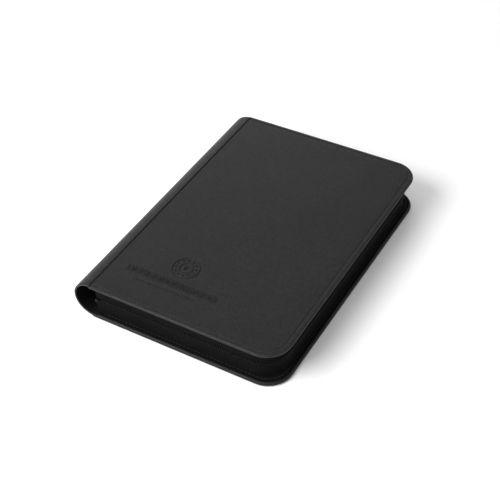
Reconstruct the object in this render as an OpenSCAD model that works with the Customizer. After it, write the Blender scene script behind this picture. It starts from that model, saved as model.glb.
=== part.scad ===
// Zip-up binder for trading cards: two padded covers, a hollow half-round spine that flexes
// in five strips, a zip wall on three sides and twenty pages fanned from a binding strip.
// X runs from the spine to the fore-edge, Y along the spine, Z up. The closed binder lies
// on its back cover, with the origin under its middle.

/* [Binder] */
// Length along the spine
length = 240; // [200:1:280]
// Width from the spine to the fore-edge
width = 176; // [150:1:220]
// Thickness of the closed binder
thickness = 32; // [28:0.5:36]
// Radius of the covers' two corners at the fore-edge
corner_r = 20; // [12:1:24]
// How much shorter the spine is than the covers, at each end
spine_short = 1; // [0:0.5:4]

/* [Cover layers] */
// Leatherette skin
skin_t = 0.7; // [0.4:0.1:1]
// Soft foam under the skin
foam_t = 0.8; // [0.4:0.1:1.2]
// Stiff board
board_t = 1.2; // [0.8:0.1:2]
// Cloth lining
lining_t = 0.3; // [0.2:0.1:0.5]
// Distance of the edge seam from the cover's edge
seam_inset = 4; // [3:0.5:6]

/* [Zip] */
// How far the zip wall stands in from the cover's edge
wall_inset = 5; // [4:0.5:8]
// Radius of the zip wall's corners
wall_r = 20; // [15:1:24]
// Thickness of the zip tape
tape_t = 0.6; // [0.4:0.1:1]
// Thickness of the teeth across the tape
teeth_t = 2.2; // [1.6:0.1:3]
// Height of one row of teeth
teeth_h = 1.4; // [1:0.1:2]
// Open line between the two rows of teeth
teeth_gap = 0.9; // [0.7:0.1:1.2]

/* [Pages] */
// Number of pages
page_count = 20; // [20:1:20]
// Thickness of an empty page
page_t = 0.44; // [0.3:0.02:0.5]
// Width of a page, from the binding strip
page_w = 152; // [120:1:152]
// Length of a page, along the spine
page_l = 200; // [180:1:210]

/* [Hidden] */
$fn = 64;
page_names = [for (i = [1:page_count]) str("page_", i < 10 ? "0" : "", i)];

spine_r = thickness / 2;                      // outer radius of the half-round spine
spine_x = -width / 2 + spine_r;               // the line of both creases
spine_strips = 5;
strip_angle = 180 / spine_strips;
strip_gap = 0.3;                              // room between a spine strip and its neighbour
edge_x = width / 2;
cover_t = skin_t + foam_t + board_t + lining_t;
seam_groove = [1.2, 0.35];                    // width and depth of the seam's groove
thread = [0.8, 0.3];                          // width and height of the thread in it
turn_in = 0.7;                                // skin that wraps the board's edge
mid_z = thickness / 2;
wall_x = edge_x - wall_inset;                 // outer face of the zip wall
wall_y = length / 2 - wall_inset;
wall_x0 = spine_x + 3;                        // where the zip wall begins, beside the crease
flange_w = 3.6;                               // tape sewn flat under the cover's edge
teeth_in = (teeth_t - tape_t) / 2;            // how far the teeth stand out of the tape
slider_at = [spine_x + 12, wall_y - tape_t / 2];
slider_l = 12;
stiffener_t = 0.6;                            // plastic sheet inside the spine
stiffener_r = spine_r - skin_t - stiffener_t; // its inner radius
lining_r = stiffener_r - lining_t;            // inner radius of the spine's lining
strip_face = spine_x - 4.7;                   // the face of the binding strip
strip_t = 1;
strip_h = 25.6;
rib_t = 1.6;                                  // the rib that holds the binding strip
page_pitch = 1.3;
page_axis = strip_face + 0.6;                 // the pages turn about this line
stop_l = 2.4;                                 // a stop, along the tape
stop_h = 3;
joint_lap = 0.1;                              // how far fused parts of one piece overlap

// ---- outlines in plan ----

// A cover seen from above: square at the crease, round at the fore-edge.
module cover_outline(inset = 0, crease_inset = 0.15) {
    r = corner_r - inset;
    x0 = spine_x + crease_inset;
    x1 = edge_x - inset;
    y1 = length / 2 - inset;
    translate([x0, -y1]) square([x1 - r - x0, 2 * y1]);
    translate([x1 - r - 0.01, -(y1 - r)]) square([r + 0.01, 2 * (y1 - r)]);
    for (side = [-1, 1]) translate([x1 - r, side * (y1 - r)]) circle(r);
}

// The zip wall seen from above, `inset` in from its outer face.
module wall_outline(inset = 0) {
    r = wall_r - inset;
    x1 = wall_x - inset;
    y1 = wall_y - inset;
    translate([wall_x0 - 1, -y1]) square([x1 - r - wall_x0 + 1, 2 * y1]);
    translate([x1 - r - 0.01, -(y1 - r)]) square([r + 0.01, 2 * (y1 - r)]);
    for (side = [-1, 1]) translate([x1 - r, side * (y1 - r)]) circle(r);
}

// A band that follows the zip wall on three sides, from outer to inner inset.
module wall_band(outer, inner) {
    difference() {
        wall_outline(outer);
        wall_outline(inner);
        translate([wall_x0 - 50, -length]) square([50, 2 * length]);
    }
}

// A band that follows the cover's edge on three sides.
module edge_band(outer, inner) {
    difference() {
        cover_outline(outer, 0);
        cover_outline(inner, -5);
        translate([wall_x0 - 50, -length]) square([50, 2 * length]);
    }
}

module slab(z0, z1) {
    translate([0, 0, z0]) linear_extrude(z1 - z0) children();
}

// ---- a cover, drawn lying at the bottom; the front cover is its mirror image ----

module cover_skin() {
    difference() {
        slab(0, cover_t) cover_outline();
        slab(skin_t, cover_t + 1) cover_outline(turn_in, 0.85);
        slab(-1, seam_groove[1]) seam_band(seam_groove[0]);
    }
}

module seam_band(band_w) {
    edge_band(seam_inset - band_w / 2, seam_inset + band_w / 2);
}

module cover_seam_thread() {
    slab(seam_groove[1] - thread[1], seam_groove[1]) seam_band(thread[0]);
}

module cover_foam() {
    slab(skin_t, skin_t + foam_t) cover_outline(turn_in, 0.85);
}

module cover_board() {
    slab(skin_t + foam_t, cover_t - lining_t) cover_outline(turn_in, 0.85);
}

module cover_lining() {
    slab(cover_t - lining_t, cover_t) cover_outline(turn_in, 0.85);
}

// The tape's wall, and its flange that is sewn under the cover's edge.
module half_tape() {
    slab(cover_t, mid_z - teeth_gap / 2 - teeth_h) wall_band(0, tape_t);
    slab(cover_t, cover_t + tape_t) flange_band();
}

// The flange fills the strip between the wall and the edge seam.
module flange_band() {
    difference() {
        wall_outline(-flange_w);
        wall_outline(tape_t);
        translate([wall_x0 - 50, -length]) square([50, 2 * length]);
    }
}

module half_teeth() {
    slab(mid_z - teeth_gap / 2 - teeth_h, mid_z - teeth_gap / 2)
        wall_band(-teeth_in, tape_t + teeth_in);
}

module upside_down() {
    translate([0, 0, thickness]) mirror([0, 0, 1]) children();
}

// A stop crimped over the tape, just past the last tooth on one side.
module crimped_stop(side) {
    translate([wall_x0 - stop_l, side * slider_at[1] - teeth_t / 2, mid_z - teeth_gap / 2 - stop_h])
        cube([stop_l, teeth_t, stop_h]);
}

// ---- the spine: five strips of a half-round, each three layers deep ----

// One layer of strip n, between two radii; strips count up from the back cover.
module spine_layer(n, outer, inner) {
    a0 = 90 + (n - 1) * strip_angle;
    room = strip_gap / spine_r * 90 / PI;
    from = a0 + room;
    to = a0 + strip_angle - room;
    far = 3 * spine_r;
    rotate([90, 0, 0]) translate([spine_x, mid_z, -(length / 2 - spine_short)])
        linear_extrude(length - 2 * spine_short)
            intersection() {
                difference() {
                    circle(outer);
                    circle(inner);
                }
                polygon([
                    [0, 0],
                    far * [cos(-from), sin(-from)],
                    far * [cos(-to), sin(-to)]
                ]);
            }
}

module spine_skin(n) {
    color("#26262a") spine_layer(n, spine_r, spine_r - skin_t);
}

module spine_stiffener(n) {
    color("#3a3a3e") spine_layer(n, spine_r - skin_t, stiffener_r);
}

module spine_lining(n) {
    color("#17171a") spine_layer(n, stiffener_r, lining_r);
}

// The strip that every page is welded to, on a rib from the middle of the spine.
module page_binding_strip() {
    rib_x0 = spine_x - lining_r + 0.04;
    color("#1c1c20") {
        translate([strip_face - strip_t, -page_l / 2, mid_z - strip_h / 2])
            cube([strip_t, page_l, strip_h]);
        translate([rib_x0, -page_l / 2, mid_z - rib_t / 2])
            cube([strip_face - strip_t - rib_x0, page_l, rib_t]);
    }
}

// A page: a rounded root on its turning line, and the welded sheet beyond it.
module page(i) {
    z = mid_z + (i - (page_count + 1) / 2) * page_pitch;
    color("#202024") translate([page_axis, 0, z]) rotate([90, 0, 0])
        linear_extrude(page_l, center = true) {
            circle(page_t / 2);
            translate([0, -page_t / 2]) square([page_w, page_t]);
        }
}

// ---- the zip's slider and pull ----

plate_t = 0.9;
plate_h = 9.2;
plate_in = teeth_t / 2 + 0.2;      // inner face of a plate, from the tape's middle
web_t = 0.5;                       // the web between the rows of teeth
lip_t = 0.9;                       // the lips that hold the back row from below
lip_room = 0.15;                   // between a lip and the teeth
tape_room = 0.2;                   // between a lip and the tape
bridge_h = 2.6;                    // how far the bridge stands off the outer plate
bridge_w = 2;
bridge_post = 1.2;
bridge_t = 0.65;
bridge_span = 6.4;
pull_axis_y = 1;                   // the pull's bar above the outer plate

// Two plates joined by a thin web that runs between the rows of teeth, lips round the back
// row only, so that the front row lifts out, and a bridge that holds the pull.
module zip_slider() {
    lip_z = mid_z - teeth_gap / 2 - teeth_h - lip_room;
    lip_w = plate_in + joint_lap - tape_t / 2 - tape_room;
    color("#2b2b2f") translate([slider_at[0] - slider_l / 2, slider_at[1], 0]) {
        for (side = [-1, 1]) {
            plate_y = side > 0 ? plate_in : -plate_in - plate_t;
            lip_y = side > 0 ? tape_t / 2 + tape_room : -plate_in - joint_lap;
            translate([0, plate_y, mid_z - plate_h / 2]) cube([slider_l, plate_t, plate_h]);
            translate([0, lip_y, lip_z - lip_t]) cube([slider_l, lip_w, lip_t]);
        }
        translate([0, -plate_in - joint_lap, mid_z - web_t / 2])
            cube([slider_l, 2 * (plate_in + joint_lap), web_t]);
        translate([slider_l / 2, plate_in + plate_t, mid_z - bridge_w / 2]) bridge();
    }
}

module bridge() {
    half = bridge_span / 2;
    for (x = [-half, half - bridge_post]) translate([x, -joint_lap, 0])
        cube([bridge_post, bridge_h, bridge_w]);
    translate([-half, bridge_h - joint_lap - bridge_t, 0])
        cube([bridge_span, bridge_t, bridge_w]);
}

pull_t = 1.2;
pull_arm = 1.2;                    // width of the two arms beside the pull's window
pull_inner = 2.6;                  // width of the window
window_l = 4.2;
tab_l = 27;
tab_h = 6.8;

// The pull hangs on the bridge by its round bar and lies along the wall.
module zip_pull() {
    bar_h = pull_inner + 2 * pull_arm;
    axis_y = slider_at[1] + plate_in + plate_t + pull_axis_y;
    color("#2b2b2f") translate([slider_at[0], axis_y, mid_z]) {
        translate([0, 0, -bar_h / 2]) cylinder(h = bar_h, r = pull_t / 2);
        for (z = [-bar_h / 2, pull_inner / 2]) translate([0, -pull_t / 2, z])
            cube([window_l + joint_lap, pull_t, pull_arm]);
        translate([window_l, -pull_t / 2, -tab_h / 2])
            cube([tab_l - window_l - tab_h / 2, pull_t, tab_h]);
        translate([tab_l - tab_h / 2, pull_t / 2, 0]) rotate([90, 0, 0])
            cylinder(h = pull_t, r = tab_h / 2);
    }
}

// ---- the covers' pieces ----

module back_cover_skin() { color("#232327") cover_skin(); }
module back_cover_foam() { color("#77777c") cover_foam(); }
module back_cover_board() { color("#8a7a62") cover_board(); }
module back_cover_lining() { color("#17171a") cover_lining(); }
module back_seam_thread() { color("#101012") cover_seam_thread(); }
module back_zip_tape() { color("#121214") half_tape(); }
module back_zip_teeth() { color("#1b1b1e") half_teeth(); }
module zip_bottom_stop() { color("#2b2b2f") crimped_stop(-1); }
module back_top_stop() { color("#2b2b2f") crimped_stop(1); }

module front_cover_skin() { color("#232327") upside_down() cover_skin(); }
module front_cover_foam() { color("#77777c") upside_down() cover_foam(); }
module front_cover_board() { color("#8a7a62") upside_down() cover_board(); }
module front_cover_lining() { color("#17171a") upside_down() cover_lining(); }
module front_seam_thread() { color("#101012") upside_down() cover_seam_thread(); }
module front_zip_tape() { color("#121214") upside_down() half_tape(); }
module front_zip_teeth() { color("#1b1b1e") upside_down() half_teeth(); }
module front_top_stop() { color("#2b2b2f") upside_down() crimped_stop(1); }

back_cover_skin();
back_cover_foam();
back_cover_board();
back_cover_lining();
back_seam_thread();
back_zip_tape();
back_zip_teeth();
zip_bottom_stop();
back_top_stop();
front_cover_skin();
front_cover_foam();
front_cover_board();
front_cover_lining();
front_seam_thread();
front_zip_tape();
front_zip_teeth();
front_top_stop();
page_binding_strip();
zip_slider();
zip_pull();
for (n = [1:spine_strips]) {
    spine_skin(n);
    spine_stiffener(n);
    spine_lining(n);
}
for (i = [1:page_count]) page(i);
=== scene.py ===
# %% [markdown]
# # A zip-up card binder
# The imported CAD model is loaded first and never touched: it holds every size and every
# joint. All that follows dresses it. Each soft or detailed piece is built as its own mesh in
# the same place and hides the plain CAD solid it stands for; all but the spine's parts ride
# on the same body.

# %% Load the frame
import math

import bmesh
import bpy
import numpy as np
from mathutils import Matrix, Vector


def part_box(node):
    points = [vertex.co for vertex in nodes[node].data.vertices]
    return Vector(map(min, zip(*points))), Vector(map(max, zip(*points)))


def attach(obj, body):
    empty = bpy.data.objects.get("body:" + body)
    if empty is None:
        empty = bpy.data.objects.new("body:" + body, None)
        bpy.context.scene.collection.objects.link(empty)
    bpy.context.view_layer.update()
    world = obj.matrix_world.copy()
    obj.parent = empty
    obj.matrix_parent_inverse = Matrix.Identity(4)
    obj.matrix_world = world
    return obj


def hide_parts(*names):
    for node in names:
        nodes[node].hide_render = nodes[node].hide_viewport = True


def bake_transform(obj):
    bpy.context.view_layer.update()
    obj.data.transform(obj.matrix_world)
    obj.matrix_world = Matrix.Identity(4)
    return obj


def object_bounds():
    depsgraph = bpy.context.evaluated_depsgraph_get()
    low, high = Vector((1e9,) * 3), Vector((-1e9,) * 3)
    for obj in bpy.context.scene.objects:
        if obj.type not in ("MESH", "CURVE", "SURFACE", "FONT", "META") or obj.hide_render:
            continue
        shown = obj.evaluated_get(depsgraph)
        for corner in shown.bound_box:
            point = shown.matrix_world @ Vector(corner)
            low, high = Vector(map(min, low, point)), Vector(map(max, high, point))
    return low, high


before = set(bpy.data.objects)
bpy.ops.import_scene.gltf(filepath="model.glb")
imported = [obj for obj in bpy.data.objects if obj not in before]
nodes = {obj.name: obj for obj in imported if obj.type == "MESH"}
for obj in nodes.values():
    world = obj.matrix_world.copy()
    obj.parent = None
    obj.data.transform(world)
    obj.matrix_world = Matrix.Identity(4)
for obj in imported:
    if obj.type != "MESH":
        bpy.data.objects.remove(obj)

MM = 0.001
cad_low, cad_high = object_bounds()
print("CAD box in mm:", [round(v / MM, 2) for v in (*cad_low, *cad_high)])

# %% [markdown]
# ## Sizes, read from the frame
# A binder is a sandwich: two covers, a half-round spine between them and a zip wall on the
# other three sides. Each size is read from the CAD nodes, so a change there moves every
# piece here. The corner radii are the only sizes that a box can't tell.

# %% Read the driving sizes
skin_low, skin_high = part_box("back_cover_skin")
half_length = skin_high.y
edge_x = skin_high.x
cover_t = skin_high.z
thickness = cad_high.z
spine_r = thickness / 2
crease_x = cad_low.x + spine_r
spine_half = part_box("spine_skin_3")[1].y
lining_r = spine_r - 1.6 * MM
corner_r = 20 * MM
tape_low, tape_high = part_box("back_zip_tape")
wall_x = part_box("back_zip_teeth")[1].x - 0.8 * MM
wall_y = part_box("back_zip_teeth")[1].y - 0.8 * MM
wall_r = 20 * MM
mid_z = thickness / 2
print("cover", round(cover_t / MM, 2), "crease at", round(crease_x / MM, 2),
      "wall at", round(wall_x / MM, 2), round(wall_y / MM, 2))

# %% [markdown]
# ## The camera
# A product shot from a little above and to the right, through a long lens. Azimuth 0 looks
# along +Y, and the camera is held very slightly off level, so it also gets a small roll.
# It is placed by turning angles into three axes, which keeps the numbers readable.

# %% Place the camera
view_azimuth = math.radians(31.97)
view_elevation = math.radians(42.33)
view_roll = math.radians(-2.81)
view_distance = 0.871
aim = Vector((-0.00428, -0.00126, 0.00124))
lens_mm = 78.65

forward = Vector((-math.sin(view_azimuth) * math.cos(view_elevation),
                  math.cos(view_azimuth) * math.cos(view_elevation),
                  -math.sin(view_elevation)))
level_right = Vector((math.cos(view_azimuth), math.sin(view_azimuth), 0))
level_up = level_right.cross(forward)
right = level_right * math.cos(view_roll) + level_up * math.sin(view_roll)
up = level_up * math.cos(view_roll) - level_right * math.sin(view_roll)

camera_data = bpy.data.cameras.new("camera")
camera_data.lens = lens_mm
camera_data.sensor_width = 36
camera_data.clip_start = 0.05
camera = bpy.data.objects.new("camera", camera_data)
bpy.context.scene.collection.objects.link(camera)
turn = Matrix((right, up, -forward)).transposed()
camera.matrix_world = Matrix.Translation(aim - forward * view_distance) @ turn.to_4x4()
bpy.context.scene.camera = camera
print("camera at", [round(v, 3) for v in camera.matrix_world.translation])

# %% [markdown]
# ## Shader groups
# Four effects turn up on several materials, so each is a node group, built once: the
# pebbled leather grain, a plain weave, a slow drift of tone, and faint scuffs. A group
# gives only heights and masks. The Principled shader stays in each material, where it can
# be read on its own.

# %% Node helpers
def add_node(tree, kind, values=None, **settings):
    """A node with its settings and its unlinked input values."""
    node = tree.nodes.new(kind)
    for key, value in settings.items():
        setattr(node, key, value)
    for key, value in (values or {}).items():
        node.inputs[key].default_value = value
    return node


def math_node(tree, operation, a, b=None):
    """A Math node whose inputs are sockets or plain numbers. Returns its output."""
    node = add_node(tree, "ShaderNodeMath", operation=operation)
    for socket, value in zip(node.inputs, (a, b)):
        if value is None:
            continue
        if isinstance(value, (int, float)):
            socket.default_value = value
        else:
            tree.links.new(value, socket)
    return node.outputs[0]


def new_group(name, inputs, outputs):
    """An empty group with float or vector inputs: {name: default}, and float outputs."""
    group = bpy.data.node_groups.new(name, "ShaderNodeTree")
    for label, default in inputs.items():
        kind = "NodeSocketVector" if default is None else "NodeSocketFloat"
        socket = group.interface.new_socket(label, in_out="INPUT", socket_type=kind)
        if default is not None:
            socket.default_value = default
    for label in outputs:
        group.interface.new_socket(label, in_out="OUTPUT", socket_type="NodeSocketFloat")
    return group, group.nodes.new("NodeGroupInput"), group.nodes.new("NodeGroupOutput")


def scaled(tree, vector, scale):
    """A vector times a number or a socket."""
    node = add_node(tree, "ShaderNodeVectorMath", operation="SCALE")
    tree.links.new(vector, node.inputs[0])
    if isinstance(scale, (int, float)):
        node.inputs["Scale"].default_value = scale
    else:
        tree.links.new(scale, node.inputs["Scale"])
    return node.outputs[0]


# %% [markdown]
# ### Leather grain
# Leatherette is pressed with a roller that leaves small pebbles divided by fine creases.
# Plain noise would look like sand, so Voronoi cells give the pebbles, warped by noise so
# that no row shows, and a second, finer noise breaks up their tops.

# %% Leather grain group
def build_leather_grain():
    group, given, result = new_group(
        "leather_grain", {"Vector": None, "Pebbles per m": 1500.0, "Warp": 0.35},
        ["Height", "Creases"])
    at = scaled(group, given.outputs["Vector"], given.outputs["Pebbles per m"])
    warp = add_node(group, "ShaderNodeTexNoise", {"Scale": 0.6, "Detail": 2.0})
    group.links.new(at, warp.inputs["Vector"])
    push = scaled(group, warp.outputs["Color"], given.outputs["Warp"])
    moved = add_node(group, "ShaderNodeVectorMath", operation="ADD")
    group.links.new(at, moved.inputs[0])
    group.links.new(push, moved.inputs[1])
    cells = add_node(group, "ShaderNodeTexVoronoi", {"Scale": 1.0}, feature="DISTANCE_TO_EDGE")
    group.links.new(moved.outputs[0], cells.inputs["Vector"])
    crease = add_node(group, "ShaderNodeMapRange",
                      {"From Min": 0.0, "From Max": 0.22, "To Min": 0.0, "To Max": 1.0},
                      interpolation_type="SMOOTHSTEP")
    group.links.new(cells.outputs["Distance"], crease.inputs["Value"])
    fine = add_node(group, "ShaderNodeTexNoise", {"Scale": 3.2, "Detail": 3.0})
    group.links.new(at, fine.inputs["Vector"])
    top_roughness = 0.35
    tops = math_node(group, "MULTIPLY", fine.outputs["Fac"], top_roughness)
    height = math_node(group, "ADD", crease.outputs["Result"], tops)
    group.links.new(height, result.inputs["Height"])
    dark = math_node(group, "SUBTRACT", 1.0, crease.outputs["Result"])
    group.links.new(dark, result.inputs["Creases"])
    return group


# %% [markdown]
# ### Plain weave
# Woven tape and lining cloth show threads that pass over and under each other. Modelling
# each thread would cost millions of faces, and the product of two sine waves at right
# angles gives the same small pillows from a few nodes.

# %% Weave group
def build_weave():
    group, given, result = new_group(
        "plain_weave", {"Vector": None, "Threads across per m": 2200.0,
                        "Threads along per m": 2200.0}, ["Height", "Gaps"])
    split = add_node(group, "ShaderNodeSeparateXYZ")
    group.links.new(given.outputs["Vector"], split.inputs[0])
    across = math_node(group, "MULTIPLY", split.outputs["X"],
                       given.outputs["Threads across per m"])
    along = math_node(group, "MULTIPLY", split.outputs["Y"],
                      given.outputs["Threads along per m"])
    over = math_node(group, "SINE", math_node(group, "MULTIPLY", across, math.pi))
    under = math_node(group, "SINE", math_node(group, "MULTIPLY", along, math.pi))
    pillow = math_node(group, "ABSOLUTE", math_node(group, "MULTIPLY", over, under))
    height = math_node(group, "POWER", pillow, 0.5)
    group.links.new(height, result.inputs["Height"])
    group.links.new(math_node(group, "SUBTRACT", 1.0, height), result.inputs["Gaps"])
    return group


# %% [markdown]
# ### Tone drift and scuffs
# No black sheet is one even black. A slow noise shifts the tone by a few percent across a
# hand's width, and thin stretched noise leaves the faint rubs that handling gives. Painted
# maps could do the same, but noise needs no picture and fits a piece of any size.

# %% Drift and scuff groups
def build_tone_drift():
    group, given, result = new_group(
        "tone_drift", {"Vector": None, "Patches per m": 14.0, "Low": 0.85, "High": 1.15},
        ["Factor"])
    noise = add_node(group, "ShaderNodeTexNoise", {"Scale": 1.0, "Detail": 4.0,
                                                   "Roughness": 0.55})
    group.links.new(scaled(group, given.outputs["Vector"], given.outputs["Patches per m"]),
                    noise.inputs["Vector"])
    spread = add_node(group, "ShaderNodeMapRange", {"From Min": 0.3, "From Max": 0.7})
    group.links.new(noise.outputs["Fac"], spread.inputs["Value"])
    group.links.new(given.outputs["Low"], spread.inputs["To Min"])
    group.links.new(given.outputs["High"], spread.inputs["To Max"])
    group.links.new(spread.outputs["Result"], result.inputs["Factor"])
    return group


def build_scuffs():
    group, given, result = new_group(
        "scuffs", {"Vector": None, "Rubs per m": 60.0, "Amount": 0.5}, ["Mask"])
    stretched = add_node(group, "ShaderNodeMapping")
    stretched.inputs["Rotation"].default_value = (0.1, 0.05, 0.6)
    stretched.inputs["Scale"].default_value = (1.0, 5.0, 1.0)
    group.links.new(given.outputs["Vector"], stretched.inputs["Vector"])
    noise = add_node(group, "ShaderNodeTexNoise", {"Scale": 1.0, "Detail": 5.0,
                                                   "Roughness": 0.6})
    group.links.new(scaled(group, stretched.outputs[0], given.outputs["Rubs per m"]),
                    noise.inputs["Vector"])
    rare = add_node(group, "ShaderNodeMapRange", {"From Min": 0.58, "From Max": 0.75},
                    interpolation_type="SMOOTHSTEP")
    group.links.new(noise.outputs["Fac"], rare.inputs["Value"])
    mask = math_node(group, "MULTIPLY", rare.outputs["Result"], given.outputs["Amount"])
    group.links.new(mask, result.inputs["Mask"])
    return group


leather_grain = build_leather_grain()
plain_weave = build_weave()
tone_drift = build_tone_drift()
scuffs = build_scuffs()
print("shader groups:", [g.name for g in bpy.data.node_groups])


# %% [markdown]
# ## A material kit
# Every material is the same recipe with different ingredients: a base colour that drifts
# and is darkened in its creases as painted shade, a roughness that scuffs change a little,
# and a bump. Each material could be wired by hand, but then they would drift apart: one
# function lays the recipe out, and each finish says only what differs. Where a mesh stores
# a 'pressed' value, it darkens the colour there as painted shade, and a value below 0
# pales it as a painted highlight.

# %% Material recipe
flecks_per_m = 420.0
rub_paling = 0.6
rub_polish = 0.25
crease_dulling = 0.1


def place_group(tree, group, vector, **values):
    node = tree.nodes.new("ShaderNodeGroup")
    node.node_tree = group
    tree.links.new(vector, node.inputs["Vector"])
    for label, value in values.items():
        node.inputs[label.replace("_", " ")].default_value = value
    return node


def finish_of(name, colour, rough, bump_mm, relief, drift=(0.85, 1.15), rub=0.3,
              shade=0.35, use_uv=False, painted_light_amount=0.0, mottle=0.0, **shader):
    """A Principled material. relief(tree, vector) gives (height, crease mask) sockets."""
    material = bpy.data.materials.new(name)
    material.use_nodes = True
    tree = material.node_tree
    principled = tree.nodes["Principled BSDF"]
    for label, value in shader.items():
        principled.inputs[label.replace("_", " ")].default_value = value
    place = tree.nodes.new("ShaderNodeTexCoord")
    vector = place.outputs["UV" if use_uv else "Object"]
    height, crease = relief(tree, vector)
    tone = place_group(tree, tone_drift, place.outputs["Object"], Low=drift[0], High=drift[1])
    rubs = place_group(tree, scuffs, place.outputs["Object"], Amount=rub)
    # Painted shade: the base colour is darkened in the relief's creases, gaps and low places, by
    # shade.
    light = math_node(tree, "SUBTRACT", 1.0, math_node(tree, "MULTIPLY", crease, shade))
    # Painted light from the mesh's 'pressed' value: painted shade darkens the ornament's grooves,
    # and a value below 0 is a painted highlight that pales the rim.
    if painted_light_amount:
        pressed = add_node(tree, "ShaderNodeAttribute", attribute_name="pressed")
        light = math_node(tree, "SUBTRACT", light, math_node(
            tree, "MULTIPLY", pressed.outputs["Fac"], painted_light_amount))
    strength = math_node(tree, "MULTIPLY", tone.outputs["Factor"], light)
    if mottle:
        flecks = place_group(tree, tone_drift, place.outputs["Object"],
                             Patches_per_m=flecks_per_m, Low=1 - mottle, High=1 + mottle)
        strength = math_node(tree, "MULTIPLY", strength, flecks.outputs["Factor"])
    lifted = math_node(tree, "ADD", strength,
                       math_node(tree, "MULTIPLY", rubs.outputs["Mask"], rub_paling))
    mixed = add_node(tree, "ShaderNodeVectorMath", operation="SCALE")
    mixed.inputs[0].default_value = colour
    tree.links.new(lifted, mixed.inputs["Scale"])
    tree.links.new(mixed.outputs[0], principled.inputs["Base Color"])
    worn = math_node(tree, "SUBTRACT", rough, math_node(
        tree, "MULTIPLY", rubs.outputs["Mask"], rub_polish))
    dulled = math_node(tree, "MULTIPLY", crease, crease_dulling)
    tree.links.new(math_node(tree, "ADD", worn, dulled), principled.inputs["Roughness"])
    bump = add_node(tree, "ShaderNodeBump", {"Strength": 1.0, "Distance": bump_mm * MM})
    tree.links.new(height, bump.inputs["Height"])
    tree.links.new(bump.outputs["Normal"], principled.inputs["Normal"])
    return material


# %% [markdown]
# ## The finishes
# Black on black: what sets the pieces apart is how they take the light. The covers are a
# soft matte leatherette, with painted shade darkening the pressed ornament and a painted
# highlight paling the upper rim. The tape and the linings are cloth that swallows light, the
# pages shine through their clear film, and the slider is enamelled metal.

# %% Relief recipes
def grain_relief(pebbles, warp=0.35):
    def relief(tree, vector):
        grain = place_group(tree, leather_grain, vector, Pebbles_per_m=pebbles, Warp=warp)
        return grain.outputs["Height"], grain.outputs["Creases"]
    return relief


def weave_relief(across, along):
    def relief(tree, vector):
        cloth = place_group(tree, plain_weave, vector, Threads_across_per_m=across,
                            Threads_along_per_m=along)
        return cloth.outputs["Height"], cloth.outputs["Gaps"]
    return relief


def mottle_relief(spots):
    """Fine even noise, for moulded plastic, enamel and board."""
    def relief(tree, vector):
        noise = add_node(tree, "ShaderNodeTexNoise", {"Scale": 1.0, "Detail": 3.0})
        tree.links.new(scaled(tree, vector, spots), noise.inputs["Vector"])
        return noise.outputs["Fac"], math_node(tree, "SUBTRACT", 0.6, noise.outputs["Fac"])
    return relief


# %% Make the finishes
leatherette = finish_of("black_leatherette", (0.0066, 0.0062, 0.0063), 0.41, 0.065,
                        grain_relief(1300.0), drift=(0.78, 1.24), rub=0.25, painted_light_amount=0.6,
                        mottle=0.45, Specular_IOR_Level=0.25)
lining_cloth = finish_of("lining_cloth", (0.005, 0.005, 0.0055), 0.85, 0.05,
                         weave_relief(2400.0, 2400.0), rub=0.1, Specular_IOR_Level=0.06)
zip_tape_cloth = finish_of("zip_tape_cloth", (0.0056, 0.0056, 0.006), 0.75, 0.2,
                           weave_relief(2600.0, 1250.0), rub=0.1, use_uv=True, shade=0.6,
                           Specular_IOR_Level=0.06)
thread_finish = finish_of("seam_thread", (0.013, 0.013, 0.014), 0.5, 0.05,
                          weave_relief(3200.0, 3200.0), Specular_IOR_Level=0.3)
teeth_plastic = finish_of("zip_teeth_plastic", (0.0036, 0.0036, 0.004), 0.5, 0.01,
                          mottle_relief(1500.0), Specular_IOR_Level=0.07)
black_enamel = finish_of("black_enamel", (0.006, 0.006, 0.0066), 0.42, 0.008,
                         mottle_relief(900.0), rub=0.8, Specular_IOR_Level=0.13,
                         Coat_Weight=0.05, Coat_Roughness=0.25)
page_film = finish_of("page_film", (0.013, 0.013, 0.0145), 0.4, 0.03,
                      mottle_relief(260.0), rub=0.6, Specular_IOR_Level=0.4,
                      Coat_Weight=0.25, Coat_Roughness=0.2)
page_welds = finish_of("page_welds", (0.03, 0.03, 0.0325), 0.62, 0.06,
                       weave_relief(1600.0, 1600.0), Specular_IOR_Level=0.3)
binding_plastic = finish_of("binding_plastic", (0.016, 0.016, 0.018), 0.55, 0.02,
                            mottle_relief(1200.0))
grey_board = finish_of("grey_board", (0.24, 0.2, 0.15), 0.9, 0.05, mottle_relief(900.0))
soft_foam = finish_of("soft_foam", (0.2, 0.2, 0.21), 0.95, 0.1, grain_relief(1800.0))
spring_sheet = finish_of("spring_sheet", (0.03, 0.03, 0.034), 0.45, 0.01,
                         mottle_relief(700.0))
print("materials:", len(bpy.data.materials))

# %% [markdown]
# ## The sealed layers
# The foam, board and stiffener are sealed inside. Nothing would be gained by new meshes,
# so they keep their CAD solids and only get a finish of their own.

# %% Dress the inner CAD nodes
STRIPS = 5


def dress(node, material):
    mesh = nodes[node].data
    mesh.materials.clear()
    mesh.materials.append(material)


for side in ("back", "front"):
    dress(f"{side}_cover_foam", soft_foam)
    dress(f"{side}_cover_board", grey_board)
for strip in range(1, STRIPS + 1):
    dress(f"spine_stiffener_{strip}", spring_sheet)
print("sealed nodes dressed:", 4 + STRIPS)


# %% [markdown]
# ## Mesh helpers
# Most pieces are grids: rows of points along a path, and a short profile across it. They
# could be curves with a bevel, but a grid lets each point move on its own. One function
# turns a grid of points into quads, and one makes the object, welds points that fall
# together, and turns all faces outward.

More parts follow.
